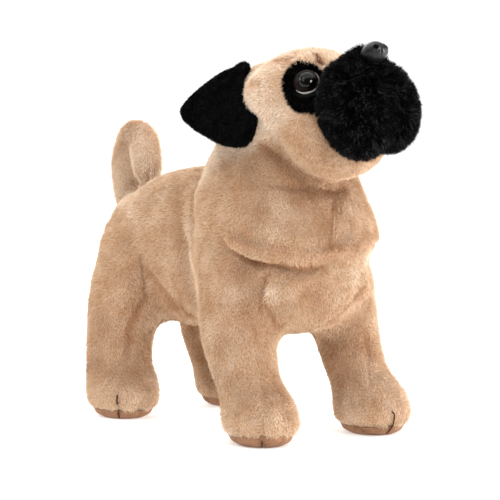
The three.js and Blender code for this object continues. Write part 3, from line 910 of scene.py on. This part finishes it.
muzzle_material = black_plush("black_long_pile", (0.0002, 0.0002, 0.0002), (0.0022, 0.0022, 0.0024),
                              0.05, 0.5)
muzzle_spine = from_head([(0, -70, -60)]) / MM + [(0, 0, -60), (0, 0, 60)]
nose_root = from_head([(0, -108, -38)])[0]
on_left = muzzle_points[muzzle_triangles].mean(axis=1)[:, 0] > 0
for number, (name, own) in enumerate((("left", on_left), ("right", ~on_left))):
    roots, normals = roots_on(muzzle_points, muzzle_triangles[own], MUZZLE_TUFTS, 400 + number)
    keep = np.min([inside_ball(roots, middle, half) for middle, half in BARE_LUMPS], axis=0) > 1
    roots, normals = roots[keep], normals[keep]
    lie = unit(unit(roots - nose_root) + 0.35 * (HEAD_TURN @ np.array([0.0, 0.6, -0.8])))
    lie = gathered(roots, lie + 0.35 * swayed(roots, 22 * MM, 31), normals, 410 + number)
    length = MUZZLE_LENGTH * (1 - 0.65 * near_eye(roots, EYE_ROOM_WIDTH))
    pile = tufts(f"pile_muzzle_{name}", roots, normals, lie, unwrapped(roots, muzzle_spine),
                 length, MUZZLE_WIDTH, MUZZLE_LEAN, 420 + number, bends=1, spread=0.3, evenness=0.4)
    painted(pile, muzzle_material)
    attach(pile, "root")

# Nose
# One moulding in black plastic with a satin shine: a wide button with two nostrils, a wing beside
# each and a groove down the middle. A stem on its back is locked inside the muzzle.
NOSE_MIDDLE = np.array([0.0, -110.0, -26.0])
NOSE_HALF = np.array([14.5, 12.5, 10.4])
NOSTRIL = {"x": 5.8, "z": -0.4, "width": 2.2, "height": 2.0, "depth": 3.6}
NOSTRIL_LIP = {"radius": 1.45, "width": 0.38, "height": 0.75}
NOSE_WING = {"x": 10.5, "z": -2.0, "width": 3.0, "height": 4.0, "depth": 0.8}
NOSE_GROOVE = {"width": 0.7, "depth": 0.9, "top": 2.0, "fade": 4.0}


def grid_faces(rows, columns):
    """Faces with four corners between the rows of a grid of points, each row closed to a ring."""
    first = np.arange(rows - 1)[:, None] * columns
    column = np.arange(columns)[None]
    onward = (column + 1) % columns
    ring = [first + column, first + onward, first + columns + onward, first + columns + column]
    return np.stack(ring, axis=-1).reshape(-1, 4)


def capped_grid(name, grid):
    """A closed piece from rows of rings: the first and last rings are drawn together to a point."""
    rows, columns, _ = grid.shape
    piece = mesh_piece(name, grid.reshape(-1, 3), grid_faces(rows, columns))
    shape = bmesh.new()
    shape.from_mesh(piece.data)
    bmesh.ops.remove_doubles(shape, verts=shape.verts, dist=1e-6)
    bmesh.ops.holes_fill(shape, edges=shape.edges)
    bmesh.ops.recalc_face_normals(shape, faces=shape.faces)
    for face in shape.faces:
        face.smooth = True
    shape.to_mesh(piece.data)
    shape.free()
    return piece


def nose_surface(rows=90, columns=160):
    """The button: an ellipsoid round the nose's own axis, which points ahead. It moves in by a bell for
    each nostril and along the short middle groove, and out by a ring round each nostril and a soft
    bell for each wing."""
    polar = np.linspace(0, math.pi, rows)[:, None]
    turn = np.linspace(0, 2 * math.pi, columns, endpoint=False)[None]
    way = [np.sin(polar) * np.cos(turn), -np.cos(polar) + 0 * turn, np.sin(polar) * np.sin(turn)]
    way = np.stack(way, axis=-1)
    place = way * NOSE_HALF
    place[..., 0] *= 1 - 0.24 * eased(place[..., 2] / NOSE_HALF[2])
    x, z = place[..., 0], place[..., 2]
    front = way[..., 1] < 0.1
    ahead = eased(-way[..., 1] + 0.1)
    move = np.zeros_like(x)
    for side in (1, -1):
        apart = [np.hypot((x - side * of["x"]) / of["width"], (z - of["z"]) / of["height"])
                 for of in (NOSTRIL, NOSE_WING)]
        move -= NOSTRIL["depth"] * np.exp(-(apart[0] ** 4)) * front
        lip = (apart[0] - NOSTRIL_LIP["radius"]) / NOSTRIL_LIP["width"]
        move += NOSTRIL_LIP["height"] * hump(lip) * front
        move += NOSE_WING["depth"] * hump(apart[1]) * ahead
    groove = NOSE_GROOVE["depth"] * hump(x / NOSE_GROOVE["width"]) * ahead
    move -= groove * eased((NOSE_GROOVE["top"] - z) / NOSE_GROOVE["fade"])
    return from_head(NOSE_MIDDLE + place + move[..., None] * way)


nose = capped_grid("nose", nose_surface())
painted(nose, speckled("nose_plastic", 1500.0, (0.003, 0.0025, 0.003), (0.006, 0.005, 0.006), 0.36, 0.27,
                       0.25, 0.3 * MM))
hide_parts("nose")
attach(nose, "root")

# Eyes
# Domed plastic eyes: a dark brown ball, a glossy black pupil that stands a little proud of it, and a
# pale lower edge. They are locked through the cloth from behind, in the black patches.
EYE_WAY = np.array([0.58, -0.8, -0.15])
SIDES = (("left", 1), ("right", -1))


def eye_frame(side):
    """The eye's middle, and its own axes: outwards through the pupil, up and across."""
    out = unit(EYE_WAY * [side, 1, 1])
    across = unit(np.cross(out, [0, 0, 1.0]))
    return EYE_MIDDLE * [side, 1, 1], out, np.cross(across, out), across


def turned_round(side, apart, height, columns=96):
    """A surface turned round the eye's axis, from a profile: how far each row is from the axis, and
    how far ahead of the eye's middle."""
    middle, out, up, across = eye_frame(side)
    turn = np.linspace(0, 2 * math.pi, columns, endpoint=False)[None]
    apart, height = np.asarray(apart)[:, None], np.asarray(height)[:, None]
    return from_head(middle + height[..., None] * out + (apart * np.cos(turn))[..., None] * up
                     + (apart * np.sin(turn))[..., None] * across)


BALL = np.linspace(0, math.pi, 64)
PUPIL_HALF = 8.5
PUPIL_FRONT = 14.0
PUPIL_CURVE = 22.0
PUPIL_EDGE = 2.6
PUPIL_BACK = 6.0
# The pale edge: how far its middle is turned outwards, how far it reaches to each side, how thick it
# is, and how much thicker it gets round one share of its length.
CRESCENT_TURN = 0.40
CRESCENT_SPAN = math.radians(98)
CRESCENT_THICK = 0.5
CRESCENT_MORE = 0.95
CRESCENT_WIDEST = -0.45


def pupil_profile(rows=40):
    """The pupil's profile: a dome flatter than the ball, as a parabola, whose edge turns back into the
    ball by the eighth power of the distance from the axis, closed by a flat back inside the ball."""
    apart = PUPIL_HALF * np.sin(np.linspace(0, math.pi / 2, rows))
    height = PUPIL_FRONT - apart**2 / (2 * PUPIL_CURVE) - PUPIL_EDGE * (apart / PUPIL_HALF) ** 8
    return np.append(apart, 0.0), np.append(height, PUPIL_BACK)


def edge_crescent(side, rows=60, columns=14):
    """The pale lower edge: a rounded strip along the dome's foot, widest at its outer end below the
    pupil, thinner towards the muzzle, and drawn out to nothing at both ends."""
    middle, out, up, across = eye_frame(side)
    along = np.linspace(-1, 1, rows)[:, None]
    turn = np.linspace(0, 2 * math.pi, columns, endpoint=False)[None]
    bearing = math.pi - side * (CRESCENT_TURN + along * CRESCENT_SPAN)
    thick = CRESCENT_THICK + CRESCENT_MORE * hump((along - CRESCENT_WIDEST) / 0.36)
    thick = thick * np.sqrt(eased(1 - np.abs(along) ** 2.2)) + 0.02
    polar = math.radians(56) + 0.08 * along**2 + 0.24 * eased(-along) ** 2
    way = (np.cos(polar)[..., None] * out + (np.sin(polar) * np.cos(bearing))[..., None] * up
           + (np.sin(polar) * np.sin(bearing))[..., None] * across)
    foot = (-np.sin(polar)[..., None] * out + (np.cos(polar) * np.cos(bearing))[..., None] * up
            + (np.cos(polar) * np.sin(bearing))[..., None] * across)
    wide, tall = (thick * np.cos(turn))[..., None], (0.55 * thick * np.sin(turn))[..., None]
    return from_head(middle + (EYE_RADIUS + 0.15) * way + wide * foot * 1.25 + tall * way)


eye_material, _, eye_shader = blank_material("eye_plastic", 0.06, 0.24)
eye_shader.inputs["Base Color"].default_value = (0.0006, 0.0006, 0.0006, 1)
iris_material = speckled("iris_plastic", 300.0, (0.002, 0.001, 0.0008), (0.007, 0.0035, 0.0022), 0.35, 0.05)
rim_material = speckled("rim_plastic", 260.0, (0.36, 0.33, 0.31), (0.56, 0.53, 0.50), 0.3)
for name, side in SIDES:
    eye = capped_grid(f"eye_{name}", turned_round(side, EYE_RADIUS * np.sin(BALL), EYE_RADIUS * np.cos(BALL)))
    painted(eye, iris_material)
    pupil = capped_grid(f"pupil_{name}", turned_round(side, *pupil_profile()))
    painted(pupil, eye_material)
    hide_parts(f"eye_{name}")
    for part in (eye, pupil):
        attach(part, "root")
    rim = capped_grid(f"eye_rim_{name}", edge_crescent(side))
    painted(rim, rim_material)
    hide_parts(f"eye_rim_{name}")
    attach(rim, "root")

# Eye patches
# A patch of short black plush is let into the head round each eye. Its pile is a little longer
# above the eye, where it hangs over the dome as a brow.
PATCH_TUFTS = 5200
PATCH_LENGTH = 4.4
BROW_LENGTH = 2.0
PATCH_WIDTH = 1.0 * MM
PATCH_LEAN = math.radians(46)
PATCH_RAISED = 0.9 * MM
patch_material = black_plush("black_short_pile", (0.0003, 0.0002, 0.0002), (0.0012, 0.0009, 0.0008), 0.03)
patch_backing = black_backing("patch_backing")


def thickened(piece, thickness):
    """The sheet gets the cloth's thickness, inwards."""
    wall = piece.modifiers.new("cloth", "SOLIDIFY")
    wall.thickness, wall.offset = thickness, -1


for number, (name, side) in enumerate(SIDES):
    middle = PATCH_MIDDLE * [side, 1, 1]
    eye_middle, out, up, across = eye_frame(side)
    corner_in = inside_ball(skin_points, middle, PATCH_HALF + 1.5) < 1
    corner_in &= inside_ball(skin_points, eye_middle, (8, 8, 8)) > 1
    own = skin_triangles[corner_in[skin_triangles].all(axis=1)]
    used, renumbered = np.unique(own, return_inverse=True)
    outer = skin_points[used] + PATCH_RAISED * skin_normals[used]
    patch = mesh_piece(f"patch_{name}", outer, renumbered.reshape(-1, 3))
    thickened(patch, 1.4 * MM)
    painted(patch, patch_backing)
    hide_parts(f"eye_patch_{name}")
    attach(patch, "root")
    roots, normals = roots_on(skin_points, own, PATCH_TUFTS, 500 + number)
    from_eye = to_head(roots) - eye_middle
    ahead = from_eye @ out
    around = np.linalg.norm(from_eye - ahead[:, None] * out, axis=1)
    rng = np.random.default_rng(510 + number)
    low = from_eye @ up < -2
    keep = (around > EYE_RADIUS - 1.0 + 4.0 * low) | (ahead < -4)
    keep &= rng.random(len(roots)) < black_share(roots)
    keep &= inside_ball(roots, (side * 19, -74, -64), (31, 35, 48)) > 1
    roots, normals, from_eye, around = roots[keep], normals[keep], from_eye[keep], around[keep]
    over_dome = eased((from_eye @ up) / EYE_RADIUS + 0.55) * eased((22 - around) / 6)
    outwards = unit(roots - from_head([eye_middle])[0])
    lie = outwards * (0.8 - 1.9 * over_dome[:, None]) + HEAD_TURN @ np.array([0.0, 0.45, -0.45])
    patch_spine = from_head([middle - [0, 0, 40], middle + [0, 0, 40]]) / MM
    pile = tufts(f"pile_patch_{name}", roots + PATCH_RAISED * normals, normals, lie,
                 unwrapped(roots, patch_spine), (PATCH_LENGTH + BROW_LENGTH * over_dome) * MM,
                 PATCH_WIDTH, PATCH_LEAN, 520 + number, spread=0.4, evenness=0.45)
    painted(pile, patch_material)
    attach(pile, "root")

# Ears
# Each ear is two layers of very short black plush, sewn edge to edge, turned and thinly filled. Its
# top corner is gathered into pleats and sewn to the head, and the flap hangs from that knot.
EAR_ROOT = np.array([47.0, 17.0, 45.0])
EAR_BEHIND = np.array([91.0, 76.0, 30.0])
EAR_LOW = np.array([85.0, 23.0, -44.0])
# The edge of the flap, in shares of the way from the root to the corner behind and to the low corner.
EAR_EDGE = np.array([
    (0.99, -0.03), (0.96, 0.11), (0.75, 0.37), (0.50, 0.62), (0.26, 0.84), (0.03, 1.00), (-0.13, 1.07),
    (-0.24, 1.03), (-0.29, 0.93), (-0.30, 0.83), (-0.23, 0.67), (-0.13, 0.54), (-0.07, 0.37), (-0.03, 0.15),
    (-0.04, 0.06), (-0.08, 0.00), (-0.02, -0.07), (0.08, -0.10), (0.18, -0.09), (0.43, -0.11), (0.79, -0.10),
])
EAR_CENTRE = np.array([0.28, 0.42])
EAR_FLAP = np.array([88.0, 50.0, -10.0])
EAR_HALF = 3.0
EAR_DOME = 4.0
KNOT_RADIUS = 15
KNOT_DIP = 8.0
PLEAT_HEIGHT = 1.9
EAR_TUFTS = 14000
EAR_LENGTH = 2.8 * MM
EAR_WIDTH = 0.95 * MM
EAR_LEAN = math.radians(52)


def ear_surface(side, rows=44, spans=9):
    """The flap: rings between its centre and its edge, out over the front sheet and back under the
    other. Half its thickness is a root of one minus the fourth power of the ring, three times as much
    at the knot. The sheet is domed, dips to the head at the knot, and is pleated in waves round it."""
    a, b, c, d = (np.roll(EAR_EDGE, -k, axis=0)[:, None] for k in (-1, 0, 1, 2))
    t = np.linspace(0, 1, spans, endpoint=False)[None, :, None]
    edge = curved(a, b, c, d, t).reshape(-1, 2)
    ring = np.sin(np.linspace(0, math.pi, 2 * rows)).clip(0, 1)[:, None]
    sheet = np.where(np.arange(2 * rows)[:, None] < rows, 1.0, -1.0)
    share = EAR_CENTRE + ring[..., None] * (edge - EAR_CENTRE)
    behind, low = EAR_BEHIND - EAR_ROOT, EAR_LOW - EAR_ROOT
    flat = share[..., :1] * behind + share[..., 1:] * low
    outward = unit(np.cross(low, behind))
    from_root = np.linalg.norm(flat, axis=-1)
    round_root = np.arctan2(share[..., 0] + 0.06, share[..., 1] + 0.16)
    knot = hump(from_root / KNOT_RADIUS)
    pleats = hump((from_root - 16) / 24) * np.sin(11 * round_root) * (1 - ring**6)
    half = EAR_HALF * np.sqrt(eased(1 - ring**4)) * (1 + 1.6 * knot)
    offset = sheet * half + EAR_DOME * (1 - ring**2) - KNOT_DIP * knot + PLEAT_HEIGHT * pleats
    return from_head((EAR_ROOT + flat + offset[..., None] * outward) * [side, 1, 1])


ear_material = black_plush("velvet_pile", (0.0001, 0.0001, 0.0001), (0.0005, 0.0005, 0.0006), 0.015, 0.6)
for number, (name, side) in enumerate(SIDES):
    ear = capped_grid(f"ear_{name}", ear_surface(side))
    painted(ear, patch_backing)
    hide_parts(f"ear_{name}")
    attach(ear, "root")
    roots, normals = roots_on(points_of(ear.data), triangles_of(ear.data), EAR_TUFTS, 600 + number)
    ear_spine = from_head(np.array([EAR_ROOT, EAR_FLAP]) * [side, 1, 1])
    lie = unit(roots - ear_spine[0]) + 0.3 * swayed(roots, 14 * MM, 41)
    pile = tufts(f"pile_ear_{name}", roots, normals, lie, unwrapped(roots, ear_spine / MM),
                 EAR_LENGTH, EAR_WIDTH, EAR_LEAN, 610 + number, spread=0.4, evenness=0.5)
    painted(pile, ear_material)
    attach(pile, "root")

# Soles
# Smooth tan suede cloth closes the underside of each paw. It is turned up a little round the edge
# and sewn to the plush in small scallops.
SUEDE = [(0.75, (0.185, 0.090, 0.046)), (1.25, (0.31, 0.162, 0.090))]
# Shares of the way from the middle of the sole to its hidden edge: where it turns up, and the seam.
SOLE_TURN = 0.3
SOLE_SEAM = 0.75
SOLE_HIDDEN = 5.5
SOLE_UNDER = 3.6
# At each toe stitch the sole is drawn in, over so many degrees.
SOLE_PINCH = 1.7
PINCH_WIDTH = 4.5
suede_material, suede_tree, suede_shader = blank_material("suede", 0.8, 0.15)
suede_place = node(suede_tree, "ShaderNodeTexCoord").outputs["Object"]
suede_nap = noise(suede_tree, suede_place, 900.0, 4.0, 0.7)
suede_wear = noise(suede_tree, suede_place, 70.0)
suede_sum = node(suede_tree, "ShaderNodeMath", i0=suede_nap, i1=suede_wear).outputs[0]
suede_tree.links.new(colour_ramp(suede_tree, suede_sum, SUEDE), suede_shader.inputs["Base Color"])
relief(suede_tree, suede_shader, suede_nap, 0.4, 0.4 * MM)
suede_shader.inputs["Sheen Weight"].default_value = 0.05


def sole_surface(paw, rows=34, columns=160):
    """A shallow tray: from the middle of the underside out to its flat edge, up the rounded side of
    the paw to a scalloped seam, and on inwards under the pile."""
    bearing = np.linspace(0, 360, columns, endpoint=False)[None]
    t = np.linspace(0, 1, rows)[:, None]
    rim = sole_edge(paw, bearing)
    side = eased((t - SOLE_TURN) / (SOLE_SEAM - SOLE_TURN))
    inside = eased((t - SOLE_SEAM) / (1 - SOLE_SEAM))
    height = rim * side + SOLE_HIDDEN * inside
    off_toes = [(bearing - toe + 180) % 360 - 180 for toe in PAW[paw][2]]
    pinch = sum(SOLE_PINCH * hump(off / PINCH_WIDTH) for off in off_toes)
    inwards = 0.4 + SOLE_UNDER * inside**0.8 + pinch * np.clip(height / 3, 0.2, 1)
    edge = paw_place(paw, bearing + 0 * t, height, -inwards)
    middle = np.append(PAW[paw][0], 0.0) * MM
    under = middle + (edge - middle) * eased(t / SOLE_TURN)[..., None]
    return np.where(t[..., None] < SOLE_TURN, under, edge)


for paw in PAWS:
    grid = sole_surface(paw)
    sole = mesh_piece(f"sole_{paw}", grid[1:].reshape(-1, 3), grid_faces(len(grid) - 1, grid.shape[1]))
    shape = bmesh.new()
    shape.from_mesh(sole.data)
    ring = [v for v in shape.verts if v.index < grid.shape[1]]
    bmesh.ops.contextual_create(shape, geom=ring)
    bmesh.ops.recalc_face_normals(shape, faces=shape.faces)
    shape.to_mesh(sole.data)
    shape.free()
    thickened(sole, 0.8 * MM)
    painted(sole, suede_material)
    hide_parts(f"sole_{paw}")
    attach(sole, "root")

# Toe stitches
# Two toes are marked on each paw by a long stitch in dark brown thread, drawn tight from the sole's
# edge up the front of the paw, so that it sinks into the plush.
THREAD_RADIUS = 0.7
THREAD_STRANDS = 3
THREAD_TWIST = 0.48
THREAD_BROWN = [(0.2, (0.030, 0.011, 0.005)), (0.8, (0.085, 0.036, 0.016))]
thread_material, thread_tree, thread_shader = blank_material("brown_thread", 0.75, 0.2)
thread_place = node(thread_tree, "ShaderNodeTexCoord").outputs["Object"]
thread_wave = node(thread_tree, "ShaderNodeTexWave", Vector=thread_place, Scale=400.0, Distortion=1.0)
thread_colour = colour_ramp(thread_tree, thread_wave.outputs["Fac"], THREAD_BROWN)
thread_tree.links.new(thread_colour, thread_shader.inputs["Base Color"])


def cord_surface(path, radius, columns=16):
    """A twisted cord along a path: rings across the path, whose radius swells in a few strands that
    turn along its length, closed to a point at both ends."""
    fine = smooth_path(path, 0.4 * MM)
    way = unit(np.gradient(fine, axis=0))
    side = unit(np.cross(way, [0.3, 0.9, 0.1]))
    other = np.cross(way, side)
    turn = np.linspace(0, 2 * math.pi, columns, endpoint=False)[None]
    along = np.linspace(0, 1, len(fine))[:, None]
    ends = np.sqrt(eased(1 - (2 * along - 1) ** 16))
    wide = radius * MM * ends * (1 + 0.16 * np.cos(THREAD_STRANDS * turn + THREAD_TWIST * len(fine) * along))
    sideways, upwards = (wide * np.cos(turn))[..., None], (wide * np.sin(turn))[..., None]
    return fine[:, None] + sideways * side[:, None] + upwards * other[:, None]


# Where each of a paw's two stitches lies on top of the cloth, as spans of height. Between them it
# runs through the filling, and only a groove in the plush shows its way.
THREAD_SHOWS = {
    "front_right": ([(0, 10)], []),
    "front_left": ([], [(2, 26)]),
    "hind_right": ([(0, 9), (18, 28)], []),
    "hind_left": ([(0, 9), (18, 28)], []),
}
THREAD_HEIGHTS = np.linspace(0.9, 29, 15)
THREAD_DEEP = 9.0
THREAD_RISE = 7.6
for paw in PAWS:
    for number, (bearing, spans) in enumerate(zip(PAW[paw][2], THREAD_SHOWS[paw]), start=1):
        on_top = np.zeros(len(THREAD_HEIGHTS))
        for a, b in spans:
            up = eased((THREAD_HEIGHTS - a + 2) / 3) * eased((b + 1 - THREAD_HEIGHTS) / 3)
            on_top = np.maximum(on_top, up)
        bearings = np.full(len(THREAD_HEIGHTS), float(bearing))
        path = paw_place(paw, bearings, THREAD_HEIGHTS, THREAD_RISE * on_top - THREAD_DEEP) / MM
        stitch = capped_grid(f"toe_line_{paw}_{number}", cord_surface(path, THREAD_RADIUS))
        painted(stitch, thread_material)
        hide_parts(f"toe_line_{paw}_{number}")
        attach(stitch, "root")

# Stage and light
# A wide white floor that glows more and more towards the back, so that it runs into the white room,
# and six soft lights: one above, one ahead, one ahead on either side, and two behind.
FLOOR_HALF = 40
AWAY = (0.62, 0.79, 0.0)


def how_far(tree, place):
    """How far a place is along the level line away from the photographer."""
    product = node(tree, "ShaderNodeVectorMath", i0=place, i1=AWAY)
    product.operation = "DOT_PRODUCT"
    return product.outputs["Value"]


corners = np.array([(-1, -1, 0), (1, -1, 0), (1, 1, 0), (-1, 1, 0)]) * float(FLOOR_HALF)
floor = mesh_piece("floor", corners, np.array([(0, 1, 2, 3)]))
floor_material, floor_tree, floor_shader = blank_material("pale_floor", 0.8)
floor_shader.inputs["Base Color"].default_value = (0.9, 0.9, 0.9, 1)
floor_shader.inputs["Emission Color"].default_value = (1, 1, 1, 1)
floor_depth = how_far(floor_tree, node(floor_tree, "ShaderNodeTexCoord").outputs["Object"])
floor_glow = node(floor_tree, "ShaderNodeMapRange", Value=floor_depth, From_Min=-0.8, From_Max=0.4,
                  To_Max=0.6).outputs["Result"]
floor_tree.links.new(floor_glow, floor_shader.inputs["Emission Strength"])
painted(floor, floor_material)
floor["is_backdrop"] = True


def softbox(name, position, size, power):
    """A square area light that faces the toy."""
    light = bpy.data.lights.new(name, "AREA")
    light.size, light.energy = size, power
    lamp = bpy.data.objects.new(name, light)
    lamp.location = position
    lamp.rotation_euler = (Vector((0, 0, 0.18)) - Vector(position)).to_track_quat("-Z", "Y").to_euler()
    bpy.context.scene.collection.objects.link(lamp)


softbox("top", (-0.15, -0.4, 2.4), 3.2, 57)
softbox("key", (-0.45, -1.85, 1.15), 0.4, 13)
softbox("soft", (-1.6, -0.8, 1.45), 0.8, 4)
softbox("side", (1.85, -1.45, 0.65), 1.1, 56)
softbox("behind", (0.9, 2.0, 1.5), 1.4, 12)
softbox("left", (-1.8, 1.3, 1.4), 1.0, 22)
# The room is white behind the toy, and darker and warmer behind the photographer.
ROOM = [
    (0.0, (0.22, 0.19, 0.17)), (0.2, (0.30, 0.26, 0.23)),
    (0.5, (0.74, 0.70, 0.66)), (0.8, (1.05, 1.05, 1.05)),
]
world = bpy.data.worlds.new("room")
world.use_nodes = True
room = world.node_tree
room_depth = how_far(room, node(room, "ShaderNodeTexCoord").outputs["Generated"])
room_share = node(room, "ShaderNodeMapRange", Value=room_depth, From_Min=-1.0).outputs["Result"]
room.links.new(colour_ramp(room, room_share, ROOM), room.nodes["Background"].inputs["Color"])
bpy.context.scene.world = world
bpy.context.scene.view_settings.view_transform = "Standard"

low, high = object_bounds()
